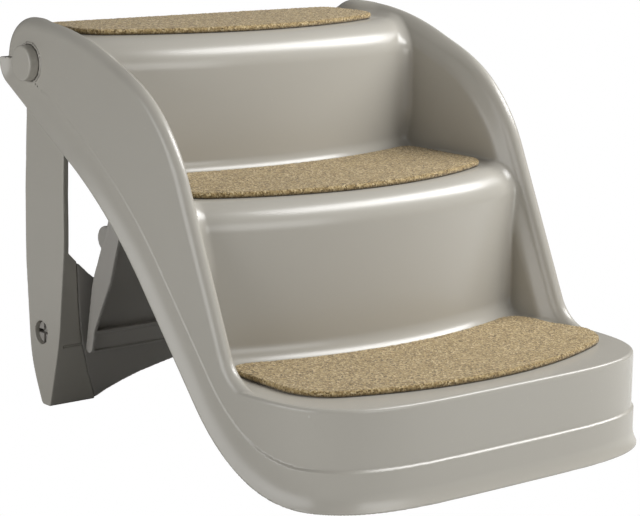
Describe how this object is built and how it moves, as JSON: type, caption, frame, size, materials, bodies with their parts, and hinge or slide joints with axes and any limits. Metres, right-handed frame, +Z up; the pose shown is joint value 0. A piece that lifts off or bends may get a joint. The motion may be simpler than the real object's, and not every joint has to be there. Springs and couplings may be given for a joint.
{
  "type": "folding pet stairs",
  "caption": "Moulded pet stairs with carpeted bowed treads, curved side walls, hinged rear legs with a cross panel and a swing-out brace.",
  "frame": {"origin": "on the floor, under the middle of the object's bounding box", "axes": "+Z up, +Y from the low front step to the high rear step, +X across the steps, symmetrical about X = 0"},
  "size_m": [0.454, 0.523, 0.396],
  "materials": {
    "body_plastic": "satin moulded polypropylene, warm grey",
    "frame_plastic": "finely textured moulded polypropylene, warm grey",
    "carpet": "short speckled needle-punch carpet, tan",
    "bush_metal": "plain turned bush",
    "zinc_steel": "zinc-plated",
    "rubber": "matt moulded rubber"
  },
  "bodies": {
    "stairs": {"stair_body": "body_plastic", "tread_pad_lower": "carpet", "tread_pad_middle": "carpet", "tread_pad_upper": "carpet", "pivot_bush_left": "bush_metal", "pivot_bush_right": "bush_metal", "brace_hinge_pin_left": "zinc_steel", "brace_hinge_pin_right": "zinc_steel", "brace_bracket_left": "frame_plastic", "brace_bracket_right": "frame_plastic", "brace_bracket_screws": "zinc_steel", "base_foot_left": "rubber", "base_foot_right": "rubber"},
    "leg_frame": {"leg_left": "body_plastic", "leg_right": "body_plastic", "leg_cross_panel": "frame_plastic", "snap_stud_left": "frame_plastic", "snap_stud_right": "frame_plastic", "pivot_cap_left": "body_plastic", "pivot_cap_right": "body_plastic", "pivot_washer_left": "zinc_steel", "pivot_washer_right": "zinc_steel", "pivot_screw_left": "zinc_steel", "pivot_screw_right": "zinc_steel", "leg_foot_pad_left": "rubber", "leg_foot_pad_right": "rubber"},
    "brace": {"brace_panel": "frame_plastic"}
  },
  "joints": [
    {"name": "leg_fold", "type": "hinge", "parent": "stairs", "child": "leg_frame", "pos_m": [0, 0.2133, 0.3517], "axis": [-1, 0, 0], "range_deg": [0, 26]},
    {"name": "brace_fold", "type": "hinge", "parent": "stairs", "child": "brace", "pos_m": [0, 0.1265, 0.232], "axis": [-1, 0, 0], "range_deg": [0, 88]}
  ],
  "couplings": [
    {"joint": "brace_fold", "follows": "leg_fold", "ratio": 3.3846}
  ]
}
